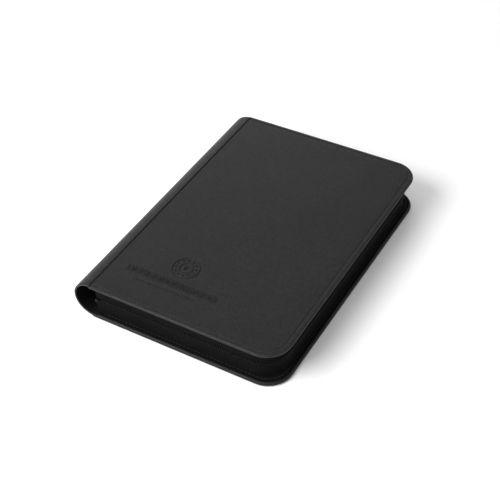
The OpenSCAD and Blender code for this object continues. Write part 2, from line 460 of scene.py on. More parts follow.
# %% Grid and object makers
def grid_faces(rows, columns, offset=0, close_columns=False):
    """Quads of a rows x columns grid of points numbered row by row."""
    faces = []
    last = columns if close_columns else columns - 1
    for i in range(rows - 1):
        for j in range(last):
            k = (j + 1) % columns
            faces.append((offset + i * columns + j, offset + i * columns + k,
                          offset + (i + 1) * columns + k, offset + (i + 1) * columns + j))
    return faces


def show_piece(name, mesh, material):
    """Smooth shading, a finish and a place in the scene."""
    mesh.shade_smooth()
    mesh.materials.append(material)
    piece = bpy.data.objects.new(name, mesh)
    bpy.context.scene.collection.objects.link(piece)
    return piece


def make_piece(name, points, faces, material, weld=1e-6, uv=None, outward=False):
    """A mesh object. uv is one pair per point, in metres along and across the piece."""
    mesh = bpy.data.meshes.new(name)
    mesh.from_pydata([tuple(map(float, p)) for p in points], [], faces)
    if uv is not None:
        layer = mesh.uv_layers.new(name="cloth")
        for loop in mesh.loops:
            layer.data[loop.index].uv = uv[loop.vertex_index]
    bm = bmesh.new()
    bm.from_mesh(mesh)
    if weld:
        bmesh.ops.remove_doubles(bm, verts=bm.verts, dist=weld)
        bmesh.ops.dissolve_degenerate(bm, edges=bm.edges, dist=weld)
    if outward:
        bmesh.ops.recalc_face_normals(bm, faces=bm.faces)
    bm.to_mesh(mesh)
    bm.free()
    return show_piece(name, mesh, material)


def face_along(piece, direction):
    """Flips an open sheet if its faces look against direction(place)."""
    agree = sum(p.area * p.normal.dot(direction(p.center)) for p in piece.data.polygons)
    if agree < 0:
        piece.data.flip_normals()


def smoothstep(t):
    t = np.clip(t, 0, 1)
    return t * t * (3 - 2 * t)


# %% [markdown]
# ## The round-cornered path
# The covers, the seams, the tape and the teeth all follow one line: along the front edge,
# round the corner, down the fore-edge and back. The line is square at the crease, where
# the spine takes over. Offsetting it inward shrinks the corner's radius, until at the
# full radius the corner is a point and a plain rectangular grid can carry on.

# %% Path makers
CORNER_STEPS = 14


def u_path(inset, x1, y1, radius, xs, ys):
    """Points of the path at an inset from the straight sides x1 and +-y1."""
    r = radius - inset
    cx, cy = x1 - radius, y1 - radius
    turn_angles = [math.pi / 2 * k / CORNER_STEPS for k in range(1, CORNER_STEPS)]
    front = [(x, -y1 + inset) for x in xs]
    corner_1 = [(cx + r * math.sin(a), -cy - r * math.cos(a)) for a in turn_angles]
    fore = [(x1 - inset, y) for y in ys]
    corner_2 = [(cx + r * math.cos(a), cy + r * math.sin(a)) for a in turn_angles]
    back = [(x, y1 - inset) for x in reversed(xs)]
    return np.array(front + corner_1 + fore + corner_2 + back)


def path_lengths(path):
    """The distance along a path to each of its points."""
    return np.concatenate([[0], np.cumsum(np.hypot(*np.diff(path, axis=0).T))])


def even(start, stop, step):
    """Evenly spaced values from start to stop, near the step asked for."""
    return list(np.linspace(start, stop, max(2, round(abs(stop - start) / step) + 1)))


def with_detail(start, stop, step, fine_from, fine_to, fine_step):
    """Spacing that is finer over one stretch, for a pressed pattern."""
    return (even(start, fine_from, step) + even(fine_from, fine_to, fine_step)[1:]
            + even(fine_to, stop, step)[1:])


# %% [markdown]
# ## Pressed ornament
# The front cover carries a blind-pressed ornament: a hot plate pushes it into the skin
# with no ink. Here it is a plain rosette over two borders. A bump map would lie flat at a
# low angle, so the grooves are real relief in the mesh. Each shape is a distance rule, and
# a groove of any width is the same rule with a soft edge.

# %% Ornament rules
emblem_x, emblem_y, emblem_r = -17.5 * MM, -69.8 * MM, 10.6 * MM
emblem_beads = 12
border_y, border_x0, border_x1 = -88.4 * MM, -57.5 * MM, 20.0 * MM
border_lozenges = 13
rule_y, rule_x0, rule_x1 = -96.3 * MM, -47.0 * MM, 6.0 * MM
rule_beads = 22
press_depth = 0.5 * MM


def groove(distance, width):
    """1 in the middle of a line of this width round distance 0, falling softly to 0."""
    return 1 - smoothstep(np.abs(distance) / width)


def filled(distance, edge):
    """1 inside a shape and 0 outside, with a soft edge of this width."""
    return 1 - smoothstep(distance / edge + 0.5)


def emblem(x, y):
    """A rosette: a ring of beads between two rings, round a lozenge."""
    from_centre = np.hypot(x, y)
    deep = np.maximum(groove(from_centre - emblem_r, 1.0 * MM),
                      groove(from_centre - emblem_r * 0.5, 0.8 * MM))
    turn = 2 * math.pi / emblem_beads
    angle = (np.arctan2(y, x) + math.pi) % turn - turn / 2
    bead_r = emblem_r * 0.75
    bead = np.hypot(from_centre * np.cos(angle) - bead_r, from_centre * np.sin(angle))
    deep = np.maximum(deep, filled(bead - 0.95 * MM, 0.5 * MM))
    lozenge = np.abs(x) + np.abs(y) * 0.72 - 2.1 * MM
    return np.maximum(deep, filled(lozenge, 0.5 * MM))


def border(x, y):
    """A row of lozenges, each with a dot in it, and an upright bar between them."""
    inside = (x > border_x0) & (x < border_x1)
    pitch = (border_x1 - border_x0) / border_lozenges
    u = (x - border_x0) % pitch - pitch / 2
    lozenge = np.abs(u) * 1.3 + np.abs(y) - 2.9 * MM
    deep = np.maximum(groove(lozenge, 0.9 * MM), filled(np.hypot(u, y) - 0.75 * MM, 0.4 * MM))
    bar = np.maximum(pitch / 2 - np.abs(u) - 0.4 * MM, np.abs(y) - 3.1 * MM)
    return np.where(inside, np.maximum(deep, filled(bar, 0.4 * MM)), 0)


def beaded_rule(x, y):
    """A row of small beads between two thin lines."""
    inside = (x > rule_x0) & (x < rule_x1)
    pitch = (rule_x1 - rule_x0) / rule_beads
    u = (x - rule_x0) % pitch - pitch / 2
    deep = filled(np.hypot(u, y) - 0.6 * MM, 0.35 * MM)
    deep = np.maximum(deep, groove(np.abs(y) - 1.6 * MM, 0.45 * MM))
    return np.where(inside, deep, 0)


def ornament(x, y):
    """How deep the plate presses at each point, from 0 to 1."""
    return np.maximum(np.maximum(emblem(x - emblem_x, y - emblem_y), border(x, y - border_y)),
                      beaded_rule(x, y - rule_y))


print("ornament spans", round((border_x1 - border_x0) / MM, 1), "mm, pressed",
      round(press_depth / MM, 2), "mm deep")


# %% [markdown]
# ## The padded covers
# A cover is leatherette pulled over thin foam and board, turned round the edge and sewn
# about 4 mm in. The sewing pulls the skin down into a shallow valley with a small pucker
# at each stitch, and between the seams the foam lifts it by a few tenths of a millimetre.
# Cloth simulation would barely move a skin that is glued to board, so the shape is drawn:
# a short profile of inset and height, swept along the path, and a soft crown inside it.

# %% Cover profile
EDGE_PROFILE = [(1.5, 0.0), (1.0, 0.08), (0.62, 0.34), (0.34, 0.72), (0.14, 1.14),
                (0.03, 1.55), (0.0, 1.9), (0.05, 2.2), (0.2, 2.5), (0.48, 2.76), (0.9, 2.92),
                (1.6, 3.01), (2.6, 3.04), (3.3, 2.99), (3.6, 2.9), (3.82, 2.79),
                (4.0, 2.75), (4.18, 2.79), (4.4, 2.9), (4.75, 3.0), (5.5, 3.06),
                (6.5, 3.1), (8.0, 3.14), (10.0, 3.15), (13.0, 3.15), (16.0, 3.15),
                (20.0, 3.15)]
seam_inset = 4 * MM
stitch_pitch = 3.2 * MM
pucker_height = 0.06 * MM
pucker_reach = 0.8
crown_height = 0.22 * MM
join_x = crease_x + 3.5 * MM
skin_step = 1.1 * MM
ornament_step = 0.36 * MM
ornament_y0, ornament_y1 = -99.5 * MM, -57 * MM


def cover_rise(x, y, with_ornament):
    """Height that the skin gains or loses on the flat of the cover, in metres."""
    across = (x - crease_x) / (edge_x - crease_x)
    along = y / half_length
    crown = crown_height * np.clip(1 - (2 * across - 1) ** 4, 0, 1) * (1 - along ** 4)
    ripple = 0.05 * MM * np.sin(x * 61 + 1.3) * np.sin(y * 47 + 0.4)
    ripple = ripple + 0.03 * MM * np.sin(x * 138 + y * 92)
    rise = crown + ripple
    if with_ornament:
        rise = rise - press_depth * ornament(x, y)
    return rise


def inside_seam(inset):
    """How much of the crown a point has, from its inset in mm: 0 at the seam, then 1."""
    return smoothstep((inset - 4.5) / 8)


def cover_sheet(profile, xs, ys, lift):
    """A sheet in the cover's outline: points (x, y, height over the inner face), faces.

    Each (inset, height) of the profile, in mm, is a ring, and a grid fills the last one.
    lift(inset, x, y) adds to the heights, in metres."""
    rings = []
    for inset, height in profile:
        path = u_path(inset * MM, edge_x, half_length, corner_r, xs, ys)
        rings.append(np.column_stack([path, height * MM + lift(inset, *path.T)]))
    gx, gy = np.meshgrid(xs, ys, indexing="ij")
    x, y = gx.ravel(), gy.ravel()
    rings.append(np.column_stack([x, y, height * MM + lift(inset, x, y)]))
    faces = grid_faces(len(profile), len(path))
    faces += grid_faces(len(xs), len(ys), offset=len(profile) * len(path))
    return np.concatenate(rings), faces


def cover_leather(with_ornament):
    """The skin's sheet, with its crown, the pucker at each stitch and the ornament."""
    cx, cy = edge_x - corner_r, half_length - corner_r
    xs, ys = even(join_x, cx, skin_step), even(-cy, cy, skin_step)
    if with_ornament:
        xs = with_detail(join_x, cx, skin_step, border_x0 - 1 * MM, border_x1 + 1 * MM,
                         ornament_step)
        ys = with_detail(-cy, cy, skin_step, ornament_y0, ornament_y1, ornament_step)
    seam = u_path(seam_inset, edge_x, half_length, corner_r, xs, ys)
    pucker = pucker_height * np.cos(path_lengths(seam) / stitch_pitch * 2 * math.pi)

    def lift(inset, x, y):
        rise = inside_seam(inset) * cover_rise(x, y, with_ornament)
        if inset < EDGE_PROFILE[-1][0]:
            from_seam = (inset - seam_inset / MM) / pucker_reach
            rise = rise + pucker * math.exp(-from_seam ** 2)
        return rise

    return cover_sheet(EDGE_PROFILE, xs, ys, lift)


def on_cover(points, side):
    """Places (x, y, height over the inner face) on the front or the back cover."""
    placed = points.copy()
    if side == "front":
        placed[:, 2] = thickness - cover_t + points[:, 2]
    else:
        placed[:, 2] = cover_t - points[:, 2]
    return placed


def rim_highlight_mask(x, y, height):
    """1 on the upper rim, where the skin is stretched round the board, 0 elsewhere: the painted
    highlight's mask.
    """
    dx, dy = edge_x - x, half_length - np.abs(y)
    round_in = corner_r - np.hypot(corner_r - dx, corner_r - dy)
    in_corner = (dx < corner_r) & (dy < corner_r)
    inset = np.where(in_corner, round_in, np.minimum(dx, dy))
    rim = np.exp(-((inset - 0.2 * MM) / (0.5 * MM)) ** 2)
    upper = smoothstep((height - 1.2 * MM) / (0.9 * MM))
    return rim * upper * smoothstep((x - join_x) / (25 * MM))


# %% Build both cover skins
# How strongly the painted highlight pales the rim.
rim_highlight_paint = 2.0
outward_of = {"front": Vector((0, 0, 1)), "back": Vector((0, 0, -1))}
for side in ("front", "back"):
    points, faces = cover_leather(side == "front")
    skin = make_piece(f"{side}_cover_leather", on_cover(points, side), faces, leatherette,
                      weld=2e-6, outward=True)
    face_along(skin, lambda place: outward_of[side])
    x, y, z = np.array([v.co for v in skin.data.vertices]).T
    height = z - (thickness - cover_t) if side == "front" else cover_t - z
    # Painted highlight: the upper rim's base colour is paled, as if its rounded edge caught the
    # light.
    pressed = -rim_highlight_paint * rim_highlight_mask(x, y, height)
    # Painted shade: the ornament's pressed grooves are darkened.
    if side == "front":
        pressed = pressed + ornament(x, y)
    skin.data.attributes.new("pressed", "FLOAT", "POINT").data.foreach_set("value", pressed)
    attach(skin, f"{side}_cover")
    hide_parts(f"{side}_cover_skin")
    print(skin.name, "has", len(skin.data.vertices), "points")


# %% [markdown]
# ## The edge stitching
# A lockstitch lies in the valley: short round threads end to end, each dipping at its
# two holes. The same seam shows again on the inner side, where it holds the zip tape's
# flat edge. An array along a curve could lay them, but a loop that bends small capsules
# to the path keeps them all in one light mesh.

# %% Stitch maker
def point_on(path, lengths, at):
    """Place and direction at a distance along a path of 2D points."""
    i = int(np.clip(np.searchsorted(lengths, at) - 1, 0, len(path) - 2))
    t = (at - lengths[i]) / max(lengths[i + 1] - lengths[i], 1e-12)
    direction = (path[i + 1] - path[i]) / max(np.hypot(*(path[i + 1] - path[i])), 1e-12)
    return path[i] + (path[i + 1] - path[i]) * t, direction


def stitches(path, height, length, pitch, radius, dip, sides=8, rings=6):
    """Capsule stitches along a path: points (x, y, height) and faces. Ends sink by dip."""
    lengths = path_lengths(path)
    count = int(lengths[-1] // pitch)
    start = (lengths[-1] - (count - 1) * pitch) / 2
    points, faces = [], []
    for n in range(count):
        offset = len(points)
        for k in range(rings):
            u = k / (rings - 1)
            at = start + n * pitch + (u - 0.5) * length
            place, along = point_on(path, lengths, np.clip(at, 0, lengths[-1]))
            across = np.array([-along[1], along[0]])
            swell = max(0.12, math.sin(math.pi * (0.06 + 0.88 * u)) ** 0.45)
            middle = height - dip * (2 * u - 1) ** 6
            for s in range(sides):
                a = 2 * math.pi * s / sides
                spot = place + across * math.cos(a) * radius * swell
                points.append((spot[0], spot[1], middle + math.sin(a) * radius * swell))
        faces += grid_faces(rings, sides, offset=offset, close_columns=True)
        faces.append(tuple(offset + s for s in reversed(range(sides))))
        faces.append(tuple(offset + (rings - 1) * sides + s for s in range(sides)))
    return np.array(points), faces


# %% Sew both covers
seam_xs = even(join_x, edge_x - corner_r, 2 * MM)
seam_ys = even(-half_length + corner_r, half_length - corner_r, 2 * MM)
seam_path = u_path(seam_inset, edge_x, half_length, corner_r, seam_xs, seam_ys)
tape_xs = even(tape_low.x + 4 * MM, edge_x - corner_r, 2 * MM)
tape_seam = u_path(seam_inset, edge_x, half_length, corner_r, tape_xs, seam_ys)
stitch_r = 0.26 * MM
stitch_dip = 1.5 * stitch_r
stitch_length = 2.7 * MM
valley_height = 2.78 * MM
tape_face_height = -0.66 * MM
outer_row, faces = stitches(seam_path, valley_height, stitch_length, stitch_pitch, stitch_r,
                            dip=stitch_dip)
inner_row, inner_faces = stitches(tape_seam, tape_face_height, stitch_length, stitch_pitch,
                                  stitch_r, dip=-stitch_dip)
points = np.concatenate([outer_row, inner_row])
faces += [tuple(i + len(outer_row) for i in f) for f in inner_faces]
for side in ("front", "back"):
    thread = make_piece(f"{side}_edge_stitching", on_cover(points, side), faces,
                        thread_finish, outward=True)
    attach(thread, f"{side}_cover")
    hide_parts(f"{side}_seam_thread")
print("stitches lie along", round(path_lengths(seam_path)[-1] / MM), "mm")


# %% [markdown]
# ## The leatherette spine
# The real skin runs on without a break from one cover, through a pressed crease, round
# the hollow spine to the other cover. It is drawn as one cloth here: columns along the
# way round, rows along the spine, and at each end the edge rolls over. An armature could
# bend it in one piece. Here the spine flexes at six lines, so the cloth is cut half way
# between them into six parts, each built in place.

# %% The way round the spine
strip_angle = math.pi / STRIPS
spine_t = 1.6 * MM
crease_centre = 0.5 * MM
crease_depth = 0.85 * MM
crease_width = 0.62 * MM
rim_inset, valley_fade = 1.55, 2.5
share_from, share_over = -2.3 * MM, 2.7 * MM
row_step = 4 * MM


def way_round(back_to_front):
    """One station of the way: centre (x, z), outward (x, z), and how far from the crease.

    The value is an angle from 0 to pi on the arc, and below 0 or above pi it is a distance
    past the crease, in metres, on the back or the front cover."""
    s = back_to_front
    if s < 0:
        return (crease_x - s, 0.0), (0.0, -1.0), -s
    if s > math.pi:
        return (crease_x + s - math.pi, thickness), (0.0, 1.0), s - math.pi
    out = (-math.sin(s), -math.cos(s))
    centre = (crease_x + out[0] * spine_r, spine_r + out[1] * spine_r)
    return centre, out, -min(s, math.pi - s) * spine_r


def cover_share(past):
    """0 on the spine and 1 on the cover, `past` metres beyond the crease."""
    return float(smoothstep((past - share_from) / share_over))


def skin_rows():
    """Rows along the spine: (end, inset, height) in mm, or (0, y, height) between them."""
    rows = [(-1, inset, height) for inset, height in EDGE_PROFILE]
    inner = even(-(half_length - corner_r), half_length - corner_r, row_step)[1:-1]
    rows += [(0, y, EDGE_PROFILE[-1][1]) for y in inner]
    rows += [(1, inset, height) for inset, height in reversed(EDGE_PROFILE)]
    return rows


def spine_cloth(stations, rows, depth_of):
    """Points of a cloth over the stations; depth_of(row, past) gives y and depth."""
    points = []
    for s in stations:
        (x, z), out, past = way_round(s)
        for row in rows:
            y, depth = depth_of(row, past)
            points.append((x - out[0] * depth, y, z - out[1] * depth))
    return np.array(points)


def skin_depth(row, past):
    """Where a row of the skin lies, `past` metres beyond the crease (below 0 on the arc)."""
    end, inset, height = row
    share = cover_share(past)
    half = spine_half + (half_length - spine_half) * share
    edge_t = spine_t + (cover_t - spine_t) * share
    valley = crease_depth * math.exp(-((past - crease_centre) / crease_width) ** 2)
    thinning = edge_t / cover_t if inset < rim_inset else 1.0
    y = inset if end == 0 else end * (half - inset * MM * thinning)
    rise = share * float(cover_rise(np.array(crease_x + past), np.array(y), False))
    if end == 0:
        return y, valley - (height * MM - cover_t) * share - rise
    depth = (cover_t - height * MM) * thinning
    if inset > rim_inset:
        depth = depth * share - float(inside_seam(inset)) * rise
    fade = float(smoothstep(inset / valley_fade)) * min(height / 2, 1)
    return y, depth + valley * fade


def split_stations(arc_step=math.radians(1.5), flat_step=0.22 * MM):
    """The stations of the six parts: each runs from one cut to the next."""
    cuts = [-(join_x - crease_x)] + [strip_angle * (k + 0.5) for k in range(STRIPS)]
    cuts.append(math.pi + (join_x - crease_x))
    parts = []
    for start, stop in zip(cuts, cuts[1:]):
        stations = []
        if start < 0:
            stations += even(start, 0, flat_step)[:-1]
        low, high = max(start, 0), min(stop, math.pi)
        stations += even(low, high, arc_step)
        if stop > math.pi:
            stations += even(math.pi, stop, flat_step)[1:]
        parts.append(stations)
    return parts


# %% Lining rows
def lining_rows():
    """The lining's rows, as skin_rows, with a depth under the outside in place of a height."""
    edge = [(-1, 0.7, 1.4), (-1, 1.0, 1.6), (-1, 1.6, 1.66), (-1, 4.0, 1.63)]
    inner = even(-(half_length - 8 * MM), half_length - 8 * MM, row_step)
    return edge + [(0, y, 1.63) for y in inner] + [(1, a, b) for _, a, b in reversed(edge)]


def lining_depth(row, past):
    end, inset, depth = row
    share = cover_share(past)
    deep = depth * MM + (cover_t - spine_t) * share
    if end == 0:
        return inset, deep
    return end * (spine_half + (half_length - spine_half) * share - inset * MM), deep


# %% Build the spine's skin and lining
flex_reach = math.radians(12)
flex_reach_flat = 1.9 * MM


def bend_between(piece, part):
    """Bakes a spine part's transform into its points."""
    line = strip_angle * part
    for side in (-1, 1):
        s = line + side * flex_reach
        if s < 0:
            s = side * flex_reach_flat
        if s > math.pi:
            s = math.pi + side * flex_reach_flat
    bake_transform(piece)


def from_spine_axis(place):
    """The direction from the hollow's axis, 2 mm inside the crease, to a place."""
    return Vector((place.x - crease_x - 2 * MM, 0, place.z - spine_r))


SPINE_CLOTHS = [
    ("spine_leather", skin_rows(), skin_depth, leatherette, 2e-7, 1, "spine_skin", "leatherette"),
    ("spine_lining_cloth", lining_rows(), lining_depth, lining_cloth, 0, -1, "spine_lining",
     "lining"),
]
for part, stations in enumerate(split_stations()):
    for name, rows, depth_of, finish, weld, facing, node, slot in SPINE_CLOTHS:
        cloth = make_piece(f"{name}_{part + 1}", spine_cloth(stations, rows, depth_of),
                           grid_faces(len(stations), len(rows)), finish, weld=weld,
                           outward=True)
        face_along(cloth, lambda place: facing * from_spine_axis(place))
        bend_between(cloth, part)
        if part < STRIPS:
            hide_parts(f"{node}_{part + 1}")
print("spine cloth in", STRIPS + 1, "parts")


# %% [markdown]
# ## The cover linings
# The inner face of a cover is one flat cloth, glued down to the crease. It could be a
# plane with a solidify step, but the cover's own outline is at hand: the same path and
# rectangle as the skin, with far fewer points.

# %% Build the linings
LINING_PROFILE = [(0.8, 0.25), (1.2, 0.05), (2.0, -0.03), (6.0, -0.03), (12.0, -0.03),
                  (20.0, -0.03)]
lining_step = 6 * MM
lining_xs = even(join_x, edge_x - corner_r, lining_step)
lining_ys = even(-(half_length - corner_r), half_length - corner_r, lining_step)
lining_points, lining_faces = cover_sheet(LINING_PROFILE, lining_xs, lining_ys,
                                          lambda inset, x, y: 0 * x)
for side in ("front", "back"):
    cloth = make_piece(f"{side}_lining_cloth", on_cover(lining_points, side), lining_faces,
                       lining_cloth, weld=2e-6, outward=True)
    face_along(cloth, lambda place: -outward_of[side])
    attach(cloth, f"{side}_cover")
    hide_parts(f"{side}_cover_lining")
print("lining cloth", round((edge_x - join_x) / MM, 1), "x", round(2 * half_length / MM), "mm")


# %% [markdown]
# ## The zip tape
# The wall is woven zip tape. Its outer edge lies flat under the cover's rim, held by the
# edge seam; then it turns and stands up to the teeth. Cloth sewn round a curve is never
# quite flat. A simulation could find its waves, but a few sines along the path do as well
# for tenths of a millimetre. Its ends turn inward and vanish into the hollow spine.

# %% The wall's line
tape_wander = 0.28 * MM
tuck_radius = 5 * MM
long_wave, short_wave = 97, 231


def wall_line(inset, step=2.0 * MM):
    """The wall's path, with both ends turned into the spine's hollow."""
    xs = even(tape_low.x + 1 * MM, wall_x - wall_r, step)
    ys = even(-wall_y + wall_r, wall_y - wall_r, step)
    line = u_path(inset, wall_x, wall_y, wall_r, xs, ys)
    tuck_r = tuck_radius + inset
    angles = [math.radians(a) for a in (75, 60, 45, 30, 15)]
    head = [(xs[0] - tuck_r * math.sin(a), -wall_y + inset + tuck_r * (1 - math.cos(a)))
            for a in angles]
    tail = [(x, -y) for x, y in reversed(head)]
    return np.concatenate([np.array(head), line, np.array(tail)])


# %% Tape maker
TAPE_PROFILE = [(3.55, 3.06), (3.6, 3.3), (3.4, 3.56), (2.4, 3.6), (1.2, 3.62), (0.5, 3.75),
                (0.12, 4.1), (0.0, 4.7), (0.0, 6.0), (0.0, 7.5), (0.0, 9.0), (0.0, 10.5),
                (0.0, 11.9), (0.14, 12.5), (0.34, 12.9), (0.34, 13.3), (0.14, 13.7),
                (0.0, 14.2), (-0.1, 14.9), (-0.5, 14.9), (-0.6, 14.2), (-0.8, 13.1),
                (-0.6, 12.0), (-0.6, 9.0), (-0.6, 6.0), (-0.6, 4.2), (-0.4, 3.3),
                (0.2, 3.05), (3.55, 3.04)]


def tape_points(side):
    """A closed ribbon round the wall: rows along the path, columns round the profile."""
    base = wall_line(0.0)
    lengths = path_lengths(base)
    along = np.gradient(base, axis=0)
    along /= np.hypot(*along.T)[:, None]
    outward = np.column_stack([along[:, 1], -along[:, 0]])
    phase = 0.0 if side == "back" else 2.1
    waves = np.sin(lengths * long_wave + phase)
    waves += 0.6 * np.sin(lengths * short_wave + 2 * phase)
    across = path_lengths(np.array(TAPE_PROFILE)) * MM
    columns = []
    for out, height in TAPE_PROFILE:
        freedom = math.sin(math.pi * min(max((height - 3.4) / 10.0, 0), 1))
        shift = out * MM + tape_wander * freedom * waves
        columns.append(np.column_stack([base + outward * shift[:, None],
                                        np.full(len(base), height * MM)]))
    points = np.stack(columns, axis=1).reshape(-1, 3)
    if side == "front":
        points[:, 2] = thickness - points[:, 2]
    uv = [(w, run) for run in lengths for w in across]
    count = len(TAPE_PROFILE)
    faces = grid_faces(len(base), count, close_columns=True)
    faces.append(tuple(range(count)))
    faces.append(tuple(reversed(range(len(points) - count, len(points)))))
    return points, faces, uv, lengths[-1]


for side in ("back", "front"):
    points, faces, uv, run = tape_points(side)
    tape = make_piece(f"{side}_zip_tape_cloth", points, faces, zip_tape_cloth, uv=uv,
                      weld=0, outward=True)
    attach(tape, f"{side}_cover")
    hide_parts(f"{side}_zip_tape")
print("tape length", round(run / MM), "mm")


# %% [markdown]
# ## The zip teeth
# A plastic zip shows as two rows of small rounded bars that lie side by side in turn. A
# texture would lose them at the rim of the wall, so one bar is built with bevelled edges,
# and a loop lays copies along the wall, the two rows half a step apart, so that they mesh
# when the binder is shut.

# %% Teeth maker
tooth_pitch = 2.0 * MM
tooth_length, tooth_width, tooth_depth = 3.5 * MM, 1.02 * MM, 1.9 * MM
row_offset = 1.15 * MM
row_end_room = 2.5 * MM
slider_nose_room = 3 * MM
slider_low, slider_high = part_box("zip_slider")


def tooth_template(length, width, depth):
    """A bar with round edges: length up the wall, width along it, depth across it."""
    bm = bmesh.new()
    bmesh.ops.create_cube(bm, size=1.0)
    bmesh.ops.scale(bm, vec=(width, depth, length), verts=bm.verts)
    bmesh.ops.bevel(bm, geom=bm.edges[:], offset=min(width, depth) * 0.32, segments=2,
                    profile=0.6, affect="EDGES")
    points = np.array([v.co for v in bm.verts])
    faces = [tuple(v.index for v in f.verts) for f in bm.faces]
    bm.free()
    return points, faces


def teeth_row(side):
    """All the bars of one row as points and faces. It starts clear of the parked slider."""
    line = wall_line(0.3 * MM, step=1.5 * MM)[5:-5]
    line = line[(line[:, 1] < 0) | (line[:, 0] > slider_low.x + slider_nose_room)]
    lengths = path_lengths(line)
    bar, bar_faces = tooth_template(tooth_length, tooth_width, tooth_depth)
    count = int((lengths[-1] - 2 * row_end_room) // tooth_pitch)
    first = row_end_room + (tooth_pitch / 2 if side == "front" else 0)
    centre_z = mid_z - row_offset if side == "back" else mid_z + row_offset
    points, faces = [], []
    for n in range(count):
        place, along = point_on(line, lengths, first + n * tooth_pitch)
        across = np.array([along[1], -along[0]])
        offset = len(points) * len(bar)
        spots = place + bar[:, :1] * along + bar[:, 1:2] * across
        points.append(np.column_stack([spots, centre_z + bar[:, 2]]))
        faces += [tuple(offset + i for i in f) for f in bar_faces]
    return np.concatenate(points), faces, count


for side in ("back", "front"):
    points, faces, count = teeth_row(side)
    teeth = make_piece(f"{side}_zip_teeth_row", points, faces, teeth_plastic, weld=0)
    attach(teeth, f"{side}_cover")
    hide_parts(f"{side}_zip_teeth")
    print(side, "row has", count, "teeth")


# %% [markdown]
# ## Slider, pull and stops
# Small enamelled castings. Sculpting them would be slow and uneven. Each starts from plain
# blocks and plates of the CAD size, and a bevel rounds every edge, which is what makes
# cast metal catch the light.

# %% Casting helpers
def rounded_block(bm, low, high, bevel, segments=3):
    """Adds a box with round edges to a bmesh."""
    low, high = Vector(low), Vector(high)
    made = bmesh.ops.create_cube(bm, size=1.0)
    verts = made["verts"]
    bmesh.ops.scale(bm, vec=high - low, verts=verts)
    bmesh.ops.translate(bm, vec=(low + high) / 2, verts=verts)
    edges = {e for v in verts for e in v.link_edges}
    bmesh.ops.bevel(bm, geom=list(edges), offset=bevel, segments=segments, profile=0.5,
                    affect="EDGES")


def plate_from_outline(bm, outline, y0, y1, bevel):
    """A plate in the XZ plane between two depths, with bevelled rims."""
    ring_a = [bm.verts.new((x, y0, z)) for x, z in outline]
    ring_b = [bm.verts.new((x, y1, z)) for x, z in outline]
    face_a = bm.faces.new(ring_a)
    face_b = bm.faces.new(list(reversed(ring_b)))
    for i in range(len(outline)):
        j = (i + 1) % len(outline)
        bm.faces.new((ring_a[j], ring_a[i], ring_b[i], ring_b[j]))
    rims = list(face_a.edges) + list(face_b.edges)
    bmesh.ops.bevel(bm, geom=rims, offset=bevel, segments=3, profile=0.5, affect="EDGES")


def arc_points(cx, cz, radius, start, stop, steps):
    """Points of an arc in the XZ plane, from one angle to another in degrees."""
    return [(cx + radius * math.cos(a), cz + radius * math.sin(a))
            for a in np.radians(np.linspace(start, stop, steps))]


def from_bmesh(name, bm, material):
    """Turns a finished bmesh into a piece."""
    bmesh.ops.recalc_face_normals(bm, faces=bm.faces)
    mesh = bpy.data.meshes.new(name)
    bm.to_mesh(mesh)
    bm.free()
    print(name, "has", len(mesh.polygons), "faces")
    return show_piece(name, mesh, material)


# %% Slider sizes
plate_half = 4.6 * MM
plate_y = wall_y - 0.3 * MM
plate_gap = 1.3 * MM
plate_t = 0.9 * MM
nose_r, tail_r = 2.2 * MM, 1.2 * MM
tail_narrowing = 0.72
lip_t, lip_inset = 0.9 * MM, 0.75 * MM
lip_from_middle = 0.55 * MM
sink = 0.2 * MM
wedge_half = 0.9 * MM
wedge_x0, wedge_x1 = 0.6 * MM, 2.4 * MM
tail_room = 1.4 * MM


def slider_outline(x0, x1, half):
    """A shield: broad at the nose, narrowing to the tail, with round corners."""
    nose = arc_points(x0 + nose_r, mid_z + half - nose_r, nose_r, 90, 180, 6)
    nose += arc_points(x0 + nose_r, mid_z - half + nose_r, nose_r, 180, 270, 6)
    tail_half = half * tail_narrowing
    tail = arc_points(x1 - tail_r, mid_z - tail_half + tail_r, tail_r, 270, 360, 5)
    tail += arc_points(x1 - tail_r, mid_z + tail_half - tail_r, tail_r, 0, 90, 5)
    return nose + tail


# %% The bridge that holds the pull
bridge_reach = 3.3 * MM
bridge_half_w = 1.0 * MM
bridge_edge = 0.12 * MM
bridge_hole_x, bridge_hole_y = 0.66, 0.7


def add_bridge(bm, mid_x, foot_y, top_y):
    """An arch over the outer plate: six-sided rings from one foot to the other."""
    rings = []
    for t in np.linspace(0, math.pi, 15):
        x = -bridge_reach * math.cos(t)
        y = (top_y - foot_y) * min(1.0, 1.5 * math.sin(t))
        outer_x, outer_y = mid_x + x, foot_y + y
        inner_x = mid_x + x * bridge_hole_x
        inner_y = foot_y - 0.05 * MM + y * bridge_hole_y
        ring = [(outer_x, outer_y, -bridge_half_w * 0.8), (outer_x, outer_y, bridge_half_w * 0.8),
                (outer_x, outer_y - bridge_edge, bridge_half_w),
                (inner_x, inner_y, bridge_half_w), (inner_x, inner_y, -bridge_half_w),
                (outer_x, outer_y - bridge_edge, -bridge_half_w)]
        rings.append([bm.verts.new((px, py, mid_z + pz)) for px, py, pz in ring])
    for a, b in zip(rings, rings[1:]):
        for k in range(6):
            bm.faces.new((a[k], a[(k + 1) % 6], b[(k + 1) % 6], b[k]))
    bm.faces.new(rings[0])
    bm.faces.new(list(reversed(rings[-1])))


